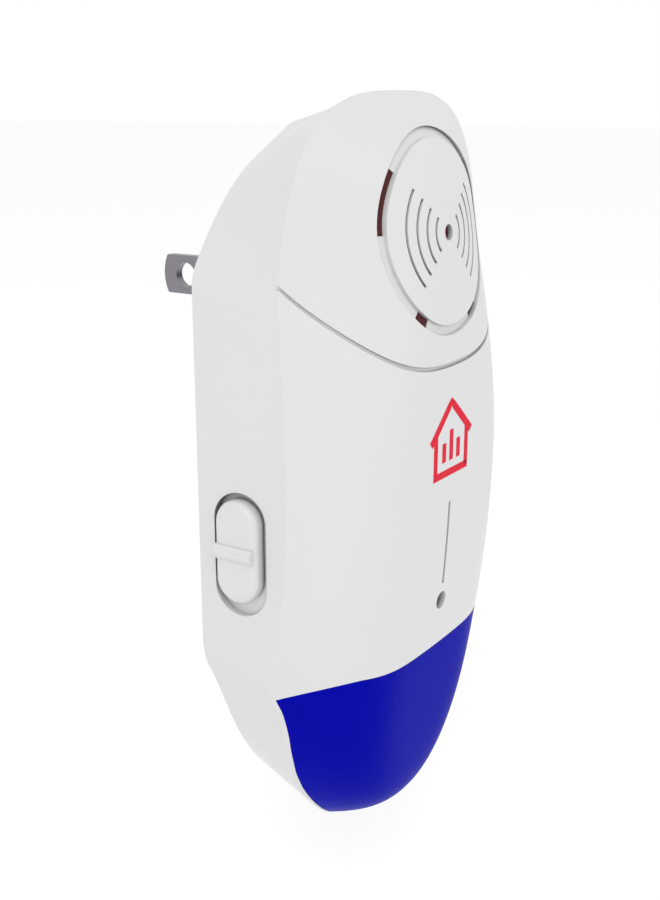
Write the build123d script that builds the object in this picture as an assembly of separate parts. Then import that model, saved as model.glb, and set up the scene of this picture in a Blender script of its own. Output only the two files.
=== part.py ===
from build123d import *
import os
from math import atan2, cos, degrees, radians, sin, tanh

os.makedirs("parts", exist_ok=True)

# ---------------------------------------------------------------- driving sizes, mm
# Origin: middle of the plug face between the blades. +Y into the wall, +Z up.
PARTING_Y = -6.25            # joint between front shell and rear cover
WALL = 2.0                   # shell thickness
HALF_WIDTH = 28.0            # half width of the front face at its edge
FACE_TOP_START = -15.0       # the face starts to round off above this height
FACE_TOP_REACH = 44.2
FACE_LOW_START = -43.2       # and below this one
FACE_LOW_REACH = 48.3

BLADE_X = 6.35               # half the blade spacing (12.7 mm plug)
BLADE_T = 1.5
BLADE_H = 6.35
BLADE_TIP = 17.5
BLADE_HOLE_R = 2.0
BLADE_HOLE_Y = 13.0

SPEAKER_Z = 8.9
MOAT_R = 15.3
MOAT_W = 1.6
MOAT_DEPTH = 0.6
PINHOLE_R = 1.2
DISC_ARCS = [3.6, 5.8, 8.0, 10.2]
SLOTS = [(139, 178), (2, 41), (231, 243), (297, 309)]   # degrees around the moat
LENS_TOP = -58.0             # middle of the lens's upper edge
LENS_EDGE = 0.4              # rim of white left around the lens
LENS_T = 1.6
INDICATOR_Z = -50.0
SMILE = [(-29.5, 5.6), (-21.7, -3.9), (-15, -8.4), (0, -10.9), (15, -8.4), (21.7, -3.9), (29.5, 5.6)]

KNOB_DEPTH = 7.3             # switch centre, forward of the parting plane
KNOB_Z = -36.3
RECESS_Z = -37.0

BOARD_DEPTH = 2.6            # back of the board, forward of the parting plane
BOARD_T = 1.6
BOARD_FRONT = BOARD_DEPTH + BOARD_T

# Both ends of the case outline are superellipses that run into straight sides.
# Each has its half width, the height where it starts, its length and its power.
REAR_TOP = (29.0, 1.9, 23.0, 1.49)
REAR_LOW = (29.0, -50.6, -41.3, 1.41)
FACE_TOP = (28.0, -2.1, 31.0, 3.24)
FACE_LOW = (28.0, -48.9, -45.5, 2.0)
FACE_DEPTH = 16.0            # depth at which the face outline is taken
END_STEPS = 5
BACK_DEPTH = -3.5            # back of the rear cover
BACK_INSET = 5.2

UPPER_SCREWS = [(-20, -9), (20, -9)]
LOWER_SCREWS = [(-9, -73), (9, -73)]
BOARD_SCREWS = [(-17, -21), (17, -21), (-8, -62.5), (8, -62.5)]


# ---------------------------------------------------------------- helpers
def at(x, depth, z):
    return Vector(x, PARTING_Y - depth, z)


def box(x0, x1, d0, d1, z0, z1):
    size = (x1 - x0, d1 - d0, z1 - z0)
    return Pos(*at((x0 + x1) / 2, (d0 + d1) / 2, (z0 + z1) / 2)) * Box(*size)


def rod(x, z, radius, d0, d1):
    return Pos(*at(x, (d0 + d1) / 2, z)) * Rot(90, 0, 0) * Cylinder(radius, d1 - d0)


def ring(x, z, outer, inner, d0, d1):
    return rod(x, z, outer, d0, d1) - rod(x, z, inner, d0 - 0.5, d1 + 0.5)


def prism(points, d0, d1):
    face = make_face(Polyline(*[at(x, d0, z) for x, z in points], close=True))
    return extrude(face, amount=d1 - d0, dir=(0, -1, 0))


def rounded_end(half, start, length, power):
    """Points from the middle of an end to its straight side: x, z and facing angle."""
    points = []
    for i in range(END_STEPS + 1):
        turn = radians(90 * i / END_STEPS)
        across = sin(turn)
        along = cos(turn)
        x = half * across ** (2 / power)
        z = start + length * along ** (2 / power)
        rise = along ** (2 - 2 / power) / length
        run = across ** (2 - 2 / power) / half
        points.append((x, z, degrees(atan2(rise, run))))
    return points


def outline(rear_end, face_end, depth, inset):
    share = depth / FACE_DEPTH
    points = []
    for rear, face in zip(rounded_end(*rear_end), rounded_end(*face_end)):
        x, z, angle = [r + (f - r) * share for r, f in zip(rear, face)]
        x -= inset * cos(radians(angle))
        z -= inset * sin(radians(angle))
        points.append(at(x, depth, z))
    return points


def mirrored(points):
    return [Vector(-p.X, p.Y, p.Z) for p in reversed(points)]


def scaled(end, less):
    half, start, length, power = end
    return half - less, start, length * (1 - less / abs(length)), power


def outline_face(depth, inset, less=0):
    """Section of the case at a depth, offset inwards by inset and scaled down by less."""
    top = outline(scaled(REAR_TOP, less), scaled(FACE_TOP, less), depth, inset)
    low = outline(scaled(REAR_LOW, less), scaled(FACE_LOW, less), depth, inset)[::-1]
    right = Spline(*top, tangents=[(1, 0, 0), (0, 0, -1)])
    right += Line(top[-1], low[0])
    right += Spline(*low, tangents=[(0, 0, -1), (-1, 0, 0)])
    low = mirrored(low)
    top = mirrored(top)
    left = Spline(*low, tangents=[(-1, 0, 0), (0, 0, 1)])
    left += Line(low[-1], top[0])
    left += Spline(*top, tangents=[(0, 0, 1), (1, 0, 0)])
    return make_face(right + left)


def wall_form(inset, d0, d1, inset_end=None):
    end = inset if inset_end is None else inset_end
    sections = [outline_face(d0, inset), outline_face(d1, end)]
    if d1 > FACE_DEPTH:
        sections.insert(1, outline_face(FACE_DEPTH, inset))
    return loft(sections, ruled=True)


def crown(u):
    """Depth of the face along its centre line."""
    return 27.18 + 1.3 * u - 6.8 * u**2 + 0.29 * u**3 + 3.07 * u**4


def crease(u):
    """Depth of the face at its edge."""
    return 15.39 + 1.12 * u - 8.9 * u**2 + 2.12 * u**3 + 7.75 * u**4


def roundness(z):
    """Flat with a tight edge low down, evenly domed around the speaker."""
    t = min(max((z + 31.3) / 45.8, 0), 1)
    return 4.85 - 2.85 * t * t * (3 - 2 * t)


def reach(x, z, inset):
    """0 in the middle of the face and 1 at its edge, and how much of it is downward."""
    side = abs(x) / (HALF_WIDTH - inset)
    if z >= FACE_TOP_START:
        rise = (z - FACE_TOP_START) / (FACE_TOP_REACH - inset)
        return (side**2 + rise**7.4) ** 0.5, 0
    fall = max(FACE_LOW_START - z, 0) / (FACE_LOW_REACH - inset)
    total = side**2.16 + fall**2.16
    return total ** (1 / 2.16), fall**2.16 / max(total, 1e-9)


def face_depth(x, z, inset):
    u = (z + 30) / 60
    edge, downward = reach(x, z, inset)
    power = roundness(z) + (15 - roundness(z)) * downward**1.72
    lift = 1 - edge**power
    if edge > 1:
        lift = -0.6 * tanh(power * (edge - 1) / 0.6)
    return crease(u) + (crown(u) - crease(u)) * lift - inset


def behind_face(inset):
    """Everything on the wall side of the front face."""
    rows = []
    for i in range(70):
        z = -102 + 2 * i
        rows.append([at(-32 + 2 * j, face_depth(-32 + 2 * j, z, inset), z) for j in range(33)])
    face = Face.make_surface_from_array_of_points(rows, tol=0.01)
    return Solid.extrude(face, Vector(0, 70, 0))


BEHIND = behind_face(0)


def in_front(zone, below):
    """The part of a zone that is less than a given distance below the face."""
    return zone - Pos(0, below, 0) * BEHIND


BEHIND_INNER = behind_face(WALL)
BODY = wall_form(0, 0, 30) & BEHIND
CAVITY = wall_form(WALL, -1, 29) & BEHIND_INNER


def lens_zone(edge, gap):
    """Area of the front taken by the lens, seen from the front."""
    middle = LENS_TOP - gap
    shoulder = [at(19, -1, middle + 0.9), at(27.5, -1, middle - 2.7)]
    edge_wire = Polyline(at(-40, -1, -110), at(40, -1, -110), at(40, -1, middle - 16), shoulder[1])
    edge_wire += Spline(*shoulder[::-1], tangents=[(-0.6, 0, 0.7), (-1, 0, 0)])
    edge_wire += ThreePointArc(shoulder[0], at(0, -1, middle), at(-19, -1, middle + 0.9))
    edge_wire += Spline(*mirrored(shoulder[::-1]), tangents=[(-1, 0, 0), (-0.6, 0, -0.7)])
    edge_wire += Polyline(at(-27.5, -1, middle - 2.7), at(-40, -1, middle - 16), at(-40, -1, -110))
    zone = extrude(make_face(edge_wire), amount=40, dir=(0, -1, 0))
    return zone & wall_form(edge, -1, 30)


def around_speaker(radius, angle, depth):
    x = radius * cos(radians(angle))
    z = SPEAKER_Z + radius * sin(radians(angle))
    return at(x, depth, z)


def sector(inner, outer, a0, a1, d0=10, d1=32):
    """Part of a ring around the speaker."""
    mid = (a0 + a1) / 2
    outside = [around_speaker(outer, angle, d0) for angle in (a0, mid, a1)]
    inside = [around_speaker(inner, angle, d0) for angle in (a1, mid, a0)]
    edge = ThreePointArc(*outside) + Line(outside[-1], inside[0])
    edge += ThreePointArc(*inside) + Line(inside[-1], outside[0])
    return extrude(make_face(edge), amount=d1 - d0, dir=(0, -1, 0))


def stadium(width, height, depth, z, x0, x1):
    plane = Plane(origin=at(x0, depth, z), x_dir=(0, -1, 0), z_dir=(1, 0, 0))
    return extrude(plane * SlotOverall(height, width, rotation=90), amount=x1 - x0)


# ---------------------------------------------------------------- case
def speaker_moat():
    """Shallow round groove that frames the speaker disc."""
    groove = ring(0, SPEAKER_Z, MOAT_R, MOAT_R - MOAT_W, 10, 32)
    return in_front(groove, MOAT_DEPTH)


def face_grooves():
    """Grille arcs on the disc, the curved line below it and the short upright line."""
    arcs = []
    for radius in DISC_ARCS:
        arcs.append(sector(radius - 0.25, radius + 0.25, 139, 226))
        arcs.append(sector(radius - 0.25, radius + 0.25, -46, 41))
    low = [at(x, 5, z - 0.35) for x, z in SMILE]
    high = [at(x, 5, z + 0.35) for x, z in reversed(SMILE)]
    edge = Spline(*low) + Line(low[-1], high[0]) + Spline(*high) + Line(high[-1], low[0])
    smile = extrude(make_face(edge), amount=27, dir=(0, -1, 0))
    line = box(-0.3, 0.3, 15, 32, -47, -33)
    cutter = smile + line
    for arc in arcs:
        cutter += arc
    return in_front(cutter, 0.5)


def sound_openings(gap):
    """Slots in the moat and the pinhole, smaller all round by a gap."""
    cuts = rod(0, SPEAKER_Z, PINHOLE_R - gap, 10, 32)
    for a0, a1 in SLOTS:
        trim = degrees(gap / MOAT_R)
        cuts += sector(MOAT_R - MOAT_W + gap, MOAT_R - gap, a0 + trim, a1 - trim)
    return cuts


def screw_bosses():
    """Screw posts with ribs to the side walls, and the ring that centres the speaker."""
    bosses = ring(0, SPEAKER_Z, 17.5, 16.3, 15, 30)
    for x, z in UPPER_SCREWS:
        bosses += rod(x, z, 3.2, 2.3, 26)
    for x, z in LOWER_SCREWS:
        bosses += rod(x, z, 3.2, 2.3, 8)
        inner, outer = sorted((x, x * 2.2))
        bosses += box(inner, outer, 2.3, 7, z - 0.8, z + 0.8)
    return bosses & (wall_form(WALL - 0.3, -1, 29) & Pos(0, 1.7, 0) * BEHIND)


def front_shell():
    shell = BODY - CAVITY + screw_bosses()
    for x, z in UPPER_SCREWS + LOWER_SCREWS:
        shell -= rod(x, z, 1.28, 0, 7)
    shell -= speaker_moat()
    shell -= face_grooves()
    shell -= sound_openings(0)
    shell -= rod(0, INDICATOR_Z, 1.5, 15, 32)
    shell -= in_front(lens_zone(LENS_EDGE, 0), LENS_T)
    shell -= stadium(9.0, 19.4, KNOB_DEPTH, RECESS_Z, -40, -27.5)
    shell -= box(-29, -20, KNOB_DEPTH - 1.6, KNOB_DEPTH + 1.6, KNOB_Z - 4.6, KNOB_Z + 2.6)
    return shell


def night_light_lens():
    return in_front(lens_zone(LENS_EDGE + 0.05, 0.05) & BODY, LENS_T)


def rear_cover():
    cover = loft([outline_face(0, 0), outline_face(BACK_DEPTH, 0, BACK_INSET)], ruled=True)
    cover -= wall_form(2.0, 0.1, -2.0, 4.6)
    lip = wall_form(WALL + 0.4, -1, 29) - wall_form(WALL + 1.5, -1, 29)
    cover += lip & box(-40, 40, -0.6, 2, -110, 40)
    opening = box(-12.1, 12.1, -5, 1, -8.1, 8.1)
    cover -= fillet(opening.edges().filter_by(Axis.Y), 1.6)
    for x, z in BOARD_SCREWS:
        cover += rod(x, z, 2.6, -2.2, BOARD_DEPTH)
    for x, z in UPPER_SCREWS + LOWER_SCREWS:
        cover += rod(x, z, 3.2, -2.2, 2.25)
        cover -= rod(x, z, 1.5, -5, 3)
        cover -= rod(x, z, 2.7, -5, -1.4)
    for x, z in BOARD_SCREWS:
        cover -= rod(x, z, 0.83, -1.0, 3)
    return cover


def plug_insert():
    body = box(-12, 12, 0.2 - 6.25, 1.6, -8, 8)
    body = fillet(body.edges().filter_by(Axis.Y), 1.5)
    body = fillet(body.faces().sort_by(Axis.Y)[-1].edges(), 0.6)
    face = box(-12, 12, -6.25, -5.0, -8, 8)
    face = fillet(face.edges().filter_by(Axis.Y), 1.5)
    body += face
    body += box(-15, 15, -1.98, -0.4, -10.5, 10.5)
    for x in (-BLADE_X, BLADE_X):
        body -= box(x - BLADE_T / 2, x + BLADE_T / 2, -8, 3, -BLADE_H / 2, BLADE_H / 2)
    return body


def blade(x):
    root = PARTING_Y - 5.2
    corner = BLADE_TIP - 0.75
    half = BLADE_H / 2
    profile = Polyline((corner, -half), (root, -half), (root, half), (corner, half))
    profile += ThreePointArc((corner, half), (BLADE_TIP, 0), (corner, -half))
    plate = extrude(Plane.YZ * make_face(profile), amount=BLADE_T)
    corners = plate.edges().filter_by(Axis.X).filter_by(lambda e: abs(e.center().Y - corner) < 0.1)
    plate = Pos(x - BLADE_T / 2, 0, 0) * fillet(corners, 0.5)
    hole = Pos(x, BLADE_HOLE_Y, 0) * Rot(0, 90, 0) * Cylinder(BLADE_HOLE_R, 4)
    tag_hole = Pos(*at(x, 3.9, 0)) * Rot(0, 90, 0) * Cylinder(0.8, 4)
    return plate - hole - tag_hole


# ---------------------------------------------------------------- speaker
def dust_mesh():
    """Felt disc behind the grille, with pads that rise into the openings."""
    disc = rod(0, SPEAKER_Z, 16.0, 10, 32) & Pos(0, 0.05, 0) * BEHIND_INNER
    pads = sound_openings(0.05) & Pos(0, MOAT_DEPTH + 0.15, 0) * BEHIND
    return disc + pads - Pos(0, 0.55, 0) * BEHIND_INNER


def speaker_housing():
    cup = rod(0, SPEAKER_Z, 14.0, 8, 15)
    cup -= rod(0, SPEAKER_Z, 12.8, 9.2, 16)
    cup += ring(0, SPEAKER_Z, 14.0, 11.6, 11.6, 12.4)
    for x in (-4, 4):
        cup += box(x - 1.2, x + 1.2, 6.8, 8, SPEAKER_Z - 13, SPEAKER_Z - 11)
    return cup


def speaker_brass():
    return rod(0, SPEAKER_Z, 12.7, 12.4, 12.7)


def speaker_ceramic():
    return rod(0, SPEAKER_Z, 9.0, 12.7, 12.95)


def speaker_front():
    front = ring(0, SPEAKER_Z, 14.0, 12.0, 15, 16)
    front += box(-13, 13, 15, 16, SPEAKER_Z - 1, SPEAKER_Z + 1)
    front += box(-1, 1, 15, 16, SPEAKER_Z - 13, SPEAKER_Z + 13)
    return front


def speaker_terminals():
    tags = [box(x - 0.8, x + 0.8, 5.2, 6.8, SPEAKER_Z - 12.6, SPEAKER_Z - 12.1) for x in (-4, 4)]
    return Compound(children=tags)


# ---------------------------------------------------------------- switch
def switch_knob():
    knob = stadium(7.4, 16.0, KNOB_DEPTH, KNOB_Z, -30.2, -27.56)
    face = knob.faces().sort_by(Axis.X)[0]
    knob = fillet(face.edges(), 1.2)
    ridge = box(-31.0, -29.0, KNOB_DEPTH - 3.4, KNOB_DEPTH + 3.4, KNOB_Z - 1.1, KNOB_Z + 1.1)
    ridge = chamfer(ridge.faces().sort_by(Axis.X)[0].edges().filter_by(Axis.Y), 0.75, 0.6)
    knob += ridge
    knob += box(-28, -24.6, KNOB_DEPTH - 1.5, KNOB_DEPTH + 1.5, KNOB_Z - 2.5, KNOB_Z + 2.5)
    return knob


def switch_link():
    neck = box(-30, -20, KNOB_DEPTH - 1.5, KNOB_DEPTH + 1.5, KNOB_Z - 2.5, KNOB_Z + 2.5)
    plate = box(-26.1, -24.9, KNOB_DEPTH - 3.2, KNOB_DEPTH + 3.2, KNOB_Z - 4, KNOB_Z + 4)
    lever = box(-24.6, -19.2, KNOB_DEPTH - 1, KNOB_DEPTH + 1, KNOB_Z - 1, KNOB_Z + 1)
    lever += box(-19.2, -17.4, KNOB_DEPTH - 1.8, KNOB_DEPTH + 1.8, KNOB_Z - 1.8, KNOB_Z + 1.8)
    return plate - neck + lever


def switch_case():
    z = KNOB_Z - 1
    case = box(-20.2, -14, BOARD_FRONT + 0.2, 10.4, z - 6, z + 6)
    case -= box(-19.6, -14.8, BOARD_FRONT + 0.8, 9.8, z - 5.2, z + 5.2)
    case -= box(-21, -19, KNOB_DEPTH - 1.2, KNOB_DEPTH + 1.2, z - 2.2, z + 2.2)
    for dz in (-4, 0, 4):
        case += box(-17.4, -16.6, BOARD_FRONT - 2.6, BOARD_FRONT + 0.3, z + dz - 0.4, z + dz + 0.4)
    return case


# ---------------------------------------------------------------- board
def main_board():
    corners = [(-21, -16), (21, -16), (21, -56), (14, -66), (-14, -66), (-21, -56)]
    board = prism(corners, BOARD_DEPTH, BOARD_FRONT)
    for x, z in BOARD_SCREWS:
        board -= rod(x, z, 1.1, 2, 5)
    for dz in (-5, -1, 3):
        z = KNOB_Z + dz
        board -= box(-17.45, -16.55, 2, 5, z - 0.45, z + 0.45)
    return board


def screw(x, z, shank_r, head_r, d_tip, d_seat, head_h, outward):
    """Pan-head screw; outward is -1 when the head faces the wall, 1 when it faces front."""
    low, high = sorted((d_tip, d_seat))
    body = rod(x, z, shank_r, low, high)
    low, high = sorted((d_seat, d_seat + outward * head_h))
    head = rod(x, z, head_r, low, high)
    rim = head.faces().sort_by(Axis.Y)[-1 if outward < 0 else 0]
    head = fillet(rim.edges(), head_h * 0.45)
    d_top = d_seat + outward * head_h
    low, high = sorted((d_top, d_top - outward * head_h * 0.55))
    head -= box(x - head_r * 0.6, x + head_r * 0.6, low, high, z - 0.3, z + 0.3)
    head -= box(x - 0.3, x + 0.3, low, high, z - head_r * 0.6, z + head_r * 0.6)
    return body + head


def cover_screws():
    places = UPPER_SCREWS + LOWER_SCREWS
    return Compound(children=[screw(x, z, 1.25, 2.5, 6.5, -1.4, 1.5, -1) for x, z in places])


def board_screws():
    places = BOARD_SCREWS
    return Compound(children=[screw(x, z, 0.8, 1.9, -0.5, BOARD_FRONT, 1.2, 1) for x, z in places])


def film_capacitor():
    body = box(1.5, 14.5, BOARD_FRONT, BOARD_FRONT + 9, -29.5, -22)
    return fillet(body.edges(), 0.6)


def electrolytic(x, z, radius, height):
    base = BOARD_FRONT
    top = base + height
    arm = radius * 0.7
    can = rod(x, z, radius, base, top)
    can = fillet(can.edges().filter_by(GeomType.CIRCLE), 0.4)
    can -= ring(x, z, radius + 0.5, radius - 0.25, base + 1.4, base + 2.0)
    can -= box(x - arm, x + arm, top - 0.15, top + 1, z - 0.1, z + 0.1)
    can -= box(x - 0.1, x + 0.1, top - 0.15, top + 1, z - arm, z + arm)
    return can


def axial(x, z, radius, length, upright):
    """Axial part lying on the board with its two bent legs."""
    lift = BOARD_FRONT + radius + 0.3
    turn = Rot(0, 0, 0) if upright else Rot(0, 90, 0)
    body = Pos(*at(x, lift, z)) * turn * Cylinder(radius, length)
    body = fillet(body.edges().filter_by(GeomType.CIRCLE), radius * 0.35)
    for side in (-1, 1):
        offset = side * (length / 2 + 0.9)
        dx, dz = (0, offset) if upright else (offset, 0)
        body += Pos(*at(x + dx / 2, lift, z + dz / 2)) * turn * Cylinder(0.25, length / 2 + 1.15)
        body += rod(x + dx, z + dz, 0.25, BOARD_FRONT, lift + 0.25)
    return body


def diodes():
    return Compound(children=[axial(-14 + 4.2 * i, -25.5, 1.3, 5.0, True) for i in range(3)])


def resistors():
    return Compound(children=[axial(8 + 3.6 * i, -36, 1.0, 6.0, True) for i in range(4)])


def control_chip():
    x0, x1, z0, z1 = -10, -3.6, -47.5, -38
    chip = box(x0, x1, BOARD_FRONT + 0.5, BOARD_FRONT + 3.8, z0, z1)
    chip -= rod(-6.8, z1, 0.8, BOARD_FRONT + 3.4, BOARD_FRONT + 5)
    return chip


def chip_legs():
    legs = []
    for i in range(4):
        z = -46.5 + 2.54 * i
        for side, x in ((-1, -10.0), (1, -3.6)):
            foot = x + side * 0.65
            leg = box(min(x, foot), max(x, foot), BOARD_FRONT + 1.9, BOARD_FRONT + 2.3, z - 0.6, z + 0.6)
            leg += box(foot - 0.2, foot + 0.2, BOARD_FRONT, BOARD_FRONT + 2.3, z - 0.3, z + 0.3)
            legs.append(leg)
    return Compound(children=legs)


def coil_core():
    z, x = -49, 14
    core = rod(x, z, 4.2, BOARD_FRONT, BOARD_FRONT + 1.2)
    core += rod(x, z, 4.2, BOARD_FRONT + 7.8, BOARD_FRONT + 9)
    core += rod(x, z, 2.0, BOARD_FRONT + 1, BOARD_FRONT + 8)
    return core


def coil_winding():
    body = ring(14, -49, 3.7, 2.02, BOARD_FRONT + 1.22, BOARD_FRONT + 7.78)
    for i in range(6):
        d = BOARD_FRONT + 2.0 + i
        body -= ring(14, -49, 4.2, 3.5, d - 0.15, d + 0.15)
    return body


def surge_disc():
    disc = Pos(*at(-3, BOARD_FRONT + 5.2, -23)) * Rot(0, 90, 0) * Cylinder(4.2, 2.8)
    disc = fillet(disc.edges(), 1.0)
    for dz in (-2.2, 2.2):
        disc += rod(-3, -23 + dz, 0.35, BOARD_FRONT, BOARD_FRONT + 3)
    return disc


def transistor():
    body = rod(3, -41, 2.4, BOARD_FRONT + 2.5, BOARD_FRONT + 7)
    body -= box(0, 6, BOARD_FRONT, BOARD_FRONT + 9, -39.6, -36)
    for dx in (-1.27, 0, 1.27):
        body += box(3 + dx - 0.25, 3 + dx + 0.25, BOARD_FRONT, BOARD_FRONT + 3, -41.25, -40.75)
    return body


def led_body(x, z, radius, base, height):
    body = rod(x, z, radius, base, base + height - radius)
    body += Pos(*at(x, base + height - radius, z)) * Sphere(radius)
    body += rod(x, z, radius + 0.35, base, base + 0.9)
    return body


def indicator_led():
    return led_body(0, INDICATOR_Z, 1.45, 19.0, 6.4)


def led_legs(x, z, top):
    legs = []
    for leg_x in (x - 0.9, x + 0.9):
        legs.append(box(leg_x - 0.25, leg_x + 0.25, BOARD_FRONT, top, z - 0.25, z + 0.25))
    return Compound(children=legs)


def night_led(x, z):
    return led_body(x, z, 2.5, BOARD_FRONT + 3, 8.0)


NIGHT_LEDS = [(-13, -58), (0, -60), (13, -58)]


def night_led_legs():
    legs = []
    for x, z in NIGHT_LEDS:
        legs += list(led_legs(x, z, BOARD_FRONT + 3).children)
    return Compound(children=legs)


def wire(points, radius, bend):
    path = FilletPolyline(*[at(*p) for p in points], radius=bend)
    start = Plane(origin=path @ 0, z_dir=path % 0)
    return sweep(start * Circle(radius), path=path)


def live_wire():
    to_board = [(-8, 7.5, -18.5), (-8, BOARD_FRONT, -18.5)]
    return wire([(-8.1, 3.9, 0), (-12, 3.9, 0), (-12, 7.5, -8)] + to_board, 0.65, 1.6)


def neutral_wire():
    to_board = [(17, 7.5, -28), (17, BOARD_FRONT, -28)]
    return wire([(8.1, 3.9, 0), (12, 3.9, 0), (12, 7.5, -8)] + to_board, 0.65, 1.6)


def speaker_wires():
    tubes = []
    for x in (-4, 4):
        to_board = [(x / 2, 7.5, -12), (x / 2, 7.5, -17.5), (x / 2, BOARD_FRONT, -17.5)]
        tubes.append(wire([(x, 5.1, -4), (x, 5.1, -7)] + to_board, 0.45, 1.2))
    return Compound(children=tubes)


def solder_joints():
    spots = [(-8, -18.5), (17, -28), (-2, -17.5), (2, -17.5)]
    beads = []
    for x, z in spots:
        bead = Pos(*at(x, BOARD_DEPTH, z)) * Sphere(0.9)
        beads.append(bead & rod(x, z, 1.2, 1.4, BOARD_DEPTH))
    return Compound(children=beads)


PARTS = {
    "front_shell": front_shell(),
    "rear_cover": rear_cover(),
    "plug_insert": plug_insert(),
    "left_blade": blade(-BLADE_X),
    "right_blade": blade(BLADE_X),
    "night_light_lens": night_light_lens(),
    "dust_mesh": dust_mesh(),
    "speaker_housing": speaker_housing(),
    "speaker_brass": speaker_brass(),
    "speaker_ceramic": speaker_ceramic(),
    "speaker_front": speaker_front(),
    "speaker_terminals": speaker_terminals(),
    "switch_knob": switch_knob(),
    "switch_link": switch_link(),
    "switch_case": switch_case(),
    "main_board": main_board(),
    "cover_screws": cover_screws(),
    "board_screws": board_screws(),
    "film_capacitor": film_capacitor(),
    "main_electrolytic": electrolytic(-14, -50, 3.2, 11),
    "small_electrolytic": electrolytic(6, -54, 2.5, 7),
    "diodes": diodes(),
    "resistors": resistors(),
    "control_chip": control_chip(),
    "chip_legs": chip_legs(),
    "coil_core": coil_core(),
    "coil_winding": coil_winding(),
    "surge_disc": surge_disc(),
    "transistor": transistor(),
    "indicator_led": indicator_led(),
    "indicator_led_legs": led_legs(0, INDICATOR_Z, 19.0),
    "left_night_led": night_led(-13, -58),
    "middle_night_led": night_led(0, -60),
    "right_night_led": night_led(13, -58),
    "night_led_legs": night_led_legs(),
    "live_wire": live_wire(),
    "neutral_wire": neutral_wire(),
    "speaker_wires": speaker_wires(),
    "solder_joints": solder_joints(),
}

for name, solid in PARTS.items():
    export_step(solid, f"parts/{name}.step")
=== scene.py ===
from math import cos, radians, sin

import bmesh
import bpy
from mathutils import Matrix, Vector
from mathutils.bvhtree import BVHTree


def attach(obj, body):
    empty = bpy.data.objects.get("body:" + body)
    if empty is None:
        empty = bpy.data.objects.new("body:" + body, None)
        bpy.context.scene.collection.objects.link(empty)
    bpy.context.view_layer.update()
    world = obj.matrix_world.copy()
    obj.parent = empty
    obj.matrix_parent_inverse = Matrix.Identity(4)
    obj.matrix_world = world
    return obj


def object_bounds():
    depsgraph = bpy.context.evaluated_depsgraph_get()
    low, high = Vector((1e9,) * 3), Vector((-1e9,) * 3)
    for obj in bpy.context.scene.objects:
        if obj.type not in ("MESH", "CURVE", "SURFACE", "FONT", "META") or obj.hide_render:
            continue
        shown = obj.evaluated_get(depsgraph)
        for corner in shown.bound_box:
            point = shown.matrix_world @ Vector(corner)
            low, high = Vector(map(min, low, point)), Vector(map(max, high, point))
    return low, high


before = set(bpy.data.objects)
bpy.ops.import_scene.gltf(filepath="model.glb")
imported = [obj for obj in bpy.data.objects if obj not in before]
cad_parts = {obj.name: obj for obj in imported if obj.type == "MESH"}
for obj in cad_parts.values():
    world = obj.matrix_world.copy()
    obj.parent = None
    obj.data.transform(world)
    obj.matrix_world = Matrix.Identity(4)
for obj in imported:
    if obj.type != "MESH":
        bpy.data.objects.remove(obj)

cad_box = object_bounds()

MM = 0.001
# Painted shade: the plastic colour is darkened where light is blocked within this reach.
PAINTED_SHADE_REACH = 2.5 * MM          # how far the plastic looks for something that blocks light
GAUZE_PITCH = 0.35 * MM
INK_THICK = 0.03 * MM
SCENE = bpy.context.scene


# ---------------------------------------------------------------- camera, floor and light
AZIMUTH = radians(56.99)         # camera stands to the left of the front
PITCH = radians(16.18)           # and looks down
LENS_MM = 48.65
CAMERA_AT = Vector((-162.8, -116.6, 28.2)) * MM
AIM = Vector((0, 0, -30)) * MM   # the lights point at the middle of the case
FLOOR_DROP = 30 * MM             # gap between the object and the floor
FLOOR_REACH = 6.0                # half the side of the floor, in metres


def add_camera():
    data = bpy.data.cameras.new("camera")
    data.lens = LENS_MM
    data.sensor_width = 36
    data.clip_start = 0.005
    camera = bpy.data.objects.new("camera", data)
    SCENE.collection.objects.link(camera)
    look = Vector((sin(AZIMUTH) * cos(PITCH), cos(AZIMUTH) * cos(PITCH), -sin(PITCH)))
    camera.location = CAMERA_AT
    camera.rotation_euler = look.to_track_quat("-Z", "Y").to_euler()
    SCENE.camera = camera


def area_light(name, place, size, power):
    data = bpy.data.lights.new(name, "AREA")
    data.shape = "DISK"
    data.size = size
    data.energy = power
    lamp = bpy.data.objects.new(name, data)
    lamp.location = place
    lamp.rotation_euler = (AIM - Vector(place)).to_track_quat("-Z", "Y").to_euler()
    SCENE.collection.objects.link(lamp)


def add_floor(height):
    mesh = bpy.data.meshes.new("floor")
    far = FLOOR_REACH
    corners = [(x, y, height) for x, y in ((-far, -far), (far, -far), (far, far), (-far, far))]
    mesh.from_pydata(corners, [], [(0, 1, 2, 3)])
    floor = bpy.data.objects.new("floor", mesh)
    SCENE.collection.objects.link(floor)
    material = bpy.data.materials.new("floor_paint")
    material.use_nodes = True
    shader = material.node_tree.nodes["Principled BSDF"]
    shader.inputs["Base Color"].default_value = (0.97, 0.97, 0.97, 1)
    shader.inputs["Roughness"].default_value = 0.9
    mesh.materials.append(material)


def add_world():
    """Even white light from all round, shown without a film curve so that white stays white."""
    world = bpy.data.worlds.new("studio")
    world.use_nodes = True
    sky = world.node_tree.nodes["Background"]
    sky.inputs["Color"].default_value = (1.0, 1.0, 1.0, 1)
    sky.inputs["Strength"].default_value = 1.0
    SCENE.world = world
    SCENE.view_settings.view_transform = "Standard"


# ---------------------------------------------------------------- material helpers
def new_material(name):
    material = bpy.data.materials.new(name)
    material.use_nodes = True
    tree = material.node_tree
    return material, tree, tree.nodes["Principled BSDF"]


def node(tree, kind, **inputs):
    made = tree.nodes.new(kind)
    for key, value in inputs.items():
        made.inputs[key.replace("_", " ")].default_value = value
    return made


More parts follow.
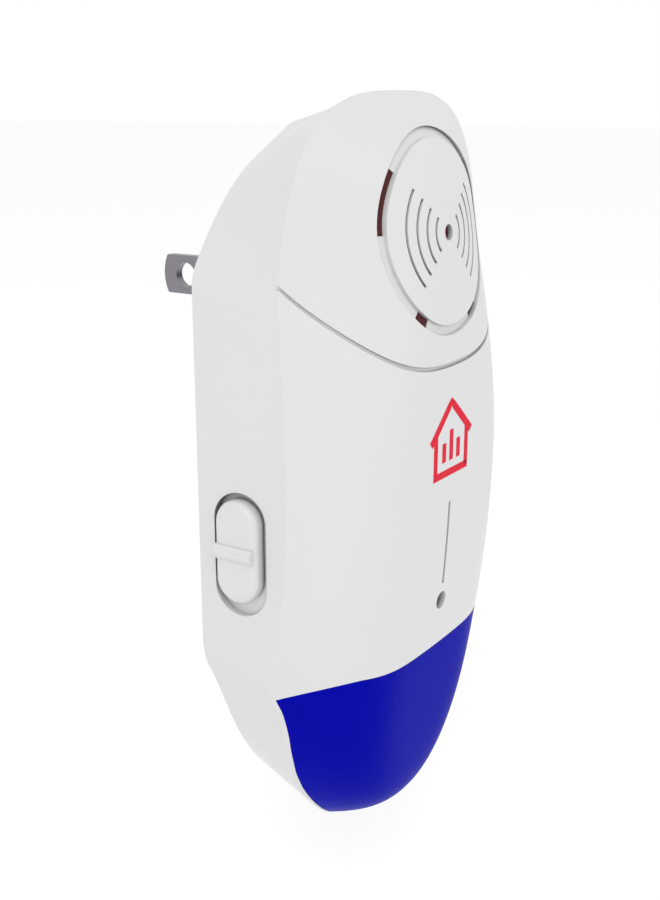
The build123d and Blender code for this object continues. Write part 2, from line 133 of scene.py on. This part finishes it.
def place_coords(tree, scale=(1, 1, 1)):
    coords = tree.nodes.new("ShaderNodeTexCoord")
    mapping = tree.nodes.new("ShaderNodeMapping")
    mapping.inputs["Scale"].default_value = scale
    tree.links.new(coords.outputs["Object"], mapping.inputs["Vector"])
    return mapping.outputs["Vector"]


def noise(tree, vector, scale, detail=4.0, rough=0.5):
    made = node(tree, "ShaderNodeTexNoise", Scale=scale, Detail=detail, Roughness=rough)
    tree.links.new(vector, made.inputs["Vector"])
    return made.outputs["Fac"]


def spread(tree, value, low, high):
    """Stretch the middle of a noise value over a range."""
    made = node(tree, "ShaderNodeMapRange", To_Min=low, To_Max=high)
    made.inputs["From Min"].default_value = 0.25
    made.inputs["From Max"].default_value = 0.75
    tree.links.new(value, made.inputs["Value"])
    return made.outputs["Result"]


def tint(tree, value, dark, light):
    """Mix two colours by a value."""
    made = tree.nodes.new("ShaderNodeMix")
    made.data_type = "RGBA"
    made.inputs["A"].default_value = (*dark, 1)
    made.inputs["B"].default_value = (*light, 1)
    tree.links.new(value, made.inputs["Factor"])
    return made.outputs["Result"]


def bump(tree, value, height_mm, strength):
    made = node(tree, "ShaderNodeBump", Strength=strength, Distance=height_mm * MM)
    tree.links.new(value, made.inputs["Height"])
    return made.outputs["Normal"]


def paint_hollow_shade(tree, colour, shade_strength):
    """Painted shade: darken a colour in deep holes and grooves, where light is blocked nearby."""
    blocked = node(tree, "ShaderNodeAmbientOcclusion", Distance=PAINTED_SHADE_REACH)
    blocked.samples = 12
    shade = node(tree, "ShaderNodeMapRange", To_Min=1 - shade_strength)
    shade.inputs["From Min"].default_value = 0.12
    shade.inputs["From Max"].default_value = 0.5
    tree.links.new(blocked.outputs["AO"], shade.inputs["Value"])
    made = tree.nodes.new("ShaderNodeVectorMath")
    made.operation = "SCALE"
    tree.links.new(colour, made.inputs[0])
    tree.links.new(shade.outputs["Result"], made.inputs["Scale"])
    return made.outputs["Vector"]


def plastic(name, colour, rough=(0.3, 0.42), shade=0.94, coat=0.0, painted_shade=0.0, gloss=0.5):
    """Moulded plastic: fine spark-eroded grain, faint flow shading and uneven gloss, with painted shade
    in holes and grooves if asked.
    """
    material, tree, shader = new_material(name)
    here = place_coords(tree)
    flow = noise(tree, here, 28, 3)
    fine = noise(tree, here, 5400, 2)
    dark = tuple(c * shade for c in colour)
    base = tint(tree, flow, dark, colour)
    # Painted shade: the colour is made darker in holes and grooves where light is blocked.
    if painted_shade:
        base = paint_hollow_shade(tree, base, painted_shade)
    tree.links.new(base, shader.inputs["Base Color"])
    tree.links.new(spread(tree, noise(tree, here, 90, 5), *rough), shader.inputs["Roughness"])
    tree.links.new(bump(tree, fine, 0.012, 0.35), shader.inputs["Normal"])
    shader.inputs["Specular IOR Level"].default_value = gloss
    shader.inputs["Coat Weight"].default_value = coat
    shader.inputs["Coat Roughness"].default_value = 0.12
    return material


def metal(name, colour, stretch, rough=(0.22, 0.4)):
    """Rolled or drawn metal with fine lines along one direction."""
    material, tree, shader = new_material(name)
    lines = noise(tree, place_coords(tree, stretch), 900, 6, 0.7)
    patches = noise(tree, place_coords(tree), 220, 4)
    dark = tuple(c * 0.72 for c in colour)
    tree.links.new(tint(tree, lines, dark, colour), shader.inputs["Base Color"])
    tree.links.new(spread(tree, patches, *rough), shader.inputs["Roughness"])
    tree.links.new(bump(tree, lines, 0.006, 0.6), shader.inputs["Normal"])
    shader.inputs["Metallic"].default_value = 1.0
    return material


def lens_material():
    """Deep blue tinted acrylic: smooth, unevenly deep in colour, bright at a glancing angle."""
    material, tree, shader = new_material("tinted_acrylic")
    here = place_coords(tree)
    colour = tint(tree, noise(tree, here, 35, 3), (0.0, 0.0005, 0.29), (0.0, 0.001, 0.35))
    tree.links.new(colour, shader.inputs["Base Color"])
    tree.links.new(spread(tree, noise(tree, here, 120, 4), 0.26, 0.34), shader.inputs["Roughness"])
    tree.links.new(bump(tree, noise(tree, here, 700, 2), 0.004, 0.3), shader.inputs["Normal"])
    shader.inputs["Specular IOR Level"].default_value = 0.0
    shader.inputs["Coat Weight"].default_value = 0.22
    shader.inputs["Coat Roughness"].default_value = 0.12
    shader.inputs["Coat IOR"].default_value = 1.25
    return material


def woven(name, colour):
    """Fine woven mesh with crossing threads."""
    material, tree, shader = new_material(name)
    here = place_coords(tree)
    threads = []
    for axis in ("X", "Z"):
        wave = tree.nodes.new("ShaderNodeTexWave")
        wave.bands_direction = axis
        wave.inputs["Scale"].default_value = 1 / GAUZE_PITCH / 6.28
        wave.inputs["Distortion"].default_value = 0.4
        tree.links.new(here, wave.inputs["Vector"])
        threads.append(wave.outputs["Fac"])
    both = tree.nodes.new("ShaderNodeMath")
    both.operation = "MAXIMUM"
    tree.links.new(threads[0], both.inputs[0])
    tree.links.new(threads[1], both.inputs[1])
    dark = tuple(c * 0.35 for c in colour)
    tree.links.new(tint(tree, both.outputs[0], dark, colour), shader.inputs["Base Color"])
    tree.links.new(bump(tree, both.outputs[0], 0.08, 0.8), shader.inputs["Normal"])
    shader.inputs["Roughness"].default_value = 0.8
    return material


def ink_material():
    """Screen-printed red ink with fine specks."""
    material, tree, shader = new_material("printed_ink")
    here = place_coords(tree)
    specks = noise(tree, here, 2500, 3)
    colour = tint(tree, specks, (0.58, 0.001, 0.02), (0.68, 0.003, 0.03))
    tree.links.new(colour, shader.inputs["Base Color"])
    shader.inputs["Specular IOR Level"].default_value = 0.1
    tree.links.new(spread(tree, noise(tree, here, 600, 2), 0.35, 0.5), shader.inputs["Roughness"])
    tree.links.new(bump(tree, specks, 0.004, 0.4), shader.inputs["Normal"])
    return material


def finish_node(name, material):
    """Give a CAD node one material."""
    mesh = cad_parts[name].data
    mesh.materials.clear()
    mesh.materials.append(material)


def dress_nodes():
    # The white plastic carries painted shade in its holes and grooves.
    white = plastic("white_moulding", (0.63, 0.63, 0.635), shade=0.97, painted_shade=0.85)
    inner_white = plastic("white_insert_moulding", (0.82, 0.82, 0.80), rough=(0.4, 0.55))
    black = plastic("black_moulding", (0.015, 0.015, 0.016), rough=(0.4, 0.55))
    tin = metal("tinned", (0.72, 0.72, 0.70), (1, 1, 1))
    steel = metal("zinc_plated_steel", (0.66, 0.67, 0.68), (1, 1, 1), rough=(0.25, 0.4))
    blade = metal("nickel_plated_blade", (0.28, 0.27, 0.29), (6, 0.4, 6))
    looks = {
        white: ["front_shell", "rear_cover", "switch_knob"],
        inner_white: ["plug_insert", "switch_link"],
        black: ["speaker_housing", "speaker_front", "control_chip", "transistor", "diodes"],
        tin: ["speaker_terminals", "chip_legs", "indicator_led_legs", "night_led_legs", "solder_joints"],
        steel: ["cover_screws", "board_screws", "switch_case"],
        blade: ["left_blade", "right_blade"],
        lens_material(): ["night_light_lens"],
        woven("speaker_gauze", (0.08, 0.003, 0.004)): ["dust_mesh"],
        metal("brass_sheet", (0.72, 0.52, 0.22), (1, 1, 1)): ["speaker_brass"],
        plastic("fired_ceramic", (0.75, 0.74, 0.70), rough=(0.6, 0.75)): ["speaker_ceramic"],
        plastic("board_lacquer", (0.02, 0.14, 0.05), coat=0.5): ["main_board"],
        plastic("dipped_resin", (0.35, 0.10, 0.02), coat=0.6): ["film_capacitor"],
        plastic("capacitor_sleeve", (0.01, 0.015, 0.05), coat=0.4):
            ["main_electrolytic", "small_electrolytic"],
        plastic("resistor_lacquer", (0.55, 0.42, 0.26), coat=0.4): ["resistors"],
        plastic("ferrite", (0.04, 0.04, 0.04), rough=(0.6, 0.8)): ["coil_core"],
        metal("enamelled_copper", (0.60, 0.24, 0.08), (1, 6, 1)): ["coil_winding"],
        plastic("surge_lacquer", (0.02, 0.08, 0.24), coat=0.6): ["surge_disc"],
        plastic("red_epoxy", (0.03, 0.002, 0.002), rough=(0.45, 0.6), gloss=0.1): ["indicator_led"],
        plastic("clear_epoxy", (0.75, 0.78, 0.82), rough=(0.05, 0.12), coat=1.0):
            ["left_night_led", "middle_night_led", "right_night_led"],
        plastic("black_sheath", (0.02, 0.02, 0.02)): ["live_wire"],
        plastic("white_sheath", (0.8, 0.8, 0.78)): ["neutral_wire"],
        plastic("red_sheath", (0.45, 0.02, 0.015)): ["speaker_wires"],
    }
    for material, names in looks.items():
        for name in names:
            finish_node(name, material)


# ---------------------------------------------------------------- printed symbol
def surface_tree(name):
    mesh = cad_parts[name].data
    points = [v.co.copy() for v in mesh.vertices]
    return BVHTree.FromPolygons(points, [tuple(p.vertices) for p in mesh.polygons])


SHELL = surface_tree("front_shell")


def on_face(x, z, proud):
    """Point on the front face at a place seen from the front, standing proud of it."""
    start = Vector((x, cad_box[0][1] - 0.02, z))
    spot = SHELL.ray_cast(start, Vector((0, 1, 0)))[0]
    return Vector((x, spot.y - proud, z))


def stroke(points, width):
    """Strip along a polyline on the face, as rows of left and right points."""
    rows = []
    count = len(points)
    for i in range(count):
        before = Vector(points[max(i - 1, 0)])
        after = Vector(points[min(i + 1, count - 1)])
        along = (after - before).normalized()
        side = Vector((-along.y, along.x)) * width / 2
        rows.append((Vector(points[i]) + side, Vector(points[i]) - side))
    return rows


def bar(a, b, steps=8):
    return [Vector(a).lerp(Vector(b), i / steps) for i in range(steps + 1)]


def printed_symbol(material):
    """A house outline with three sound bars inside, in mm about the middle of the print."""
    left, right, low, eave, peak = -5.0, 5.0, -5.6, 0.8, 5.6
    line, roof_line = 1.2, 1.3
    roof = bar((left - 1.5, eave - 0.9), (0, peak)) + bar((0, peak), (right + 1.5, eave - 0.9))[1:]
    strokes = [
        (bar((left, low), (left, eave)), line),
        (bar((right, low), (right, eave)), line),
        (bar((left - line / 2, low), (right + line / 2, low)), line),
        (roof, roof_line),
        (bar((-2.3, -3.7), (-2.3, -0.6)), line),
        (bar((0, -3.7), (0, 1.2)), line),
        (bar((2.3, -3.7), (2.3, -0.6)), line),
    ]
    middle_x, middle_z = -0.3 * MM, -22.3 * MM
    mesh = bmesh.new()
    for points, width in strokes:
        rows = []
        for pair in stroke(points, width):
            spots = [(middle_x + p.x * MM, middle_z + p.y * MM) for p in pair]
            sides = (INK_THICK, -INK_THICK)
            rows.append([mesh.verts.new(on_face(x, z, proud)) for proud in sides for x, z in spots])
        for (a, b, e, f), (d, c, h, g) in zip(rows, rows[1:]):
            for loop in ((a, b, c, d), (h, g, f, e), (a, d, h, e), (c, b, f, g)):
                mesh.faces.new(loop)
        for a, b, e, f in (rows[0], rows[-1]):
            mesh.faces.new((a, b, f, e))
    bmesh.ops.recalc_face_normals(mesh, faces=mesh.faces)
    data = bpy.data.meshes.new("printed_symbol")
    mesh.to_mesh(data)
    mesh.free()
    data.materials.append(material)
    symbol = bpy.data.objects.new("printed_symbol", data)
    SCENE.collection.objects.link(symbol)
    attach(symbol, "case")


# ---------------------------------------------------------------- build
add_camera()
add_world()
add_floor(cad_box[0][2] - FLOOR_DROP)
area_light("key", (-0.55, -0.35, 0.55), size=0.4, power=1.7)
area_light("fill", (0.35, -0.75, 0.15), size=0.6, power=0.3)
dress_nodes()
printed_symbol(ink_material())
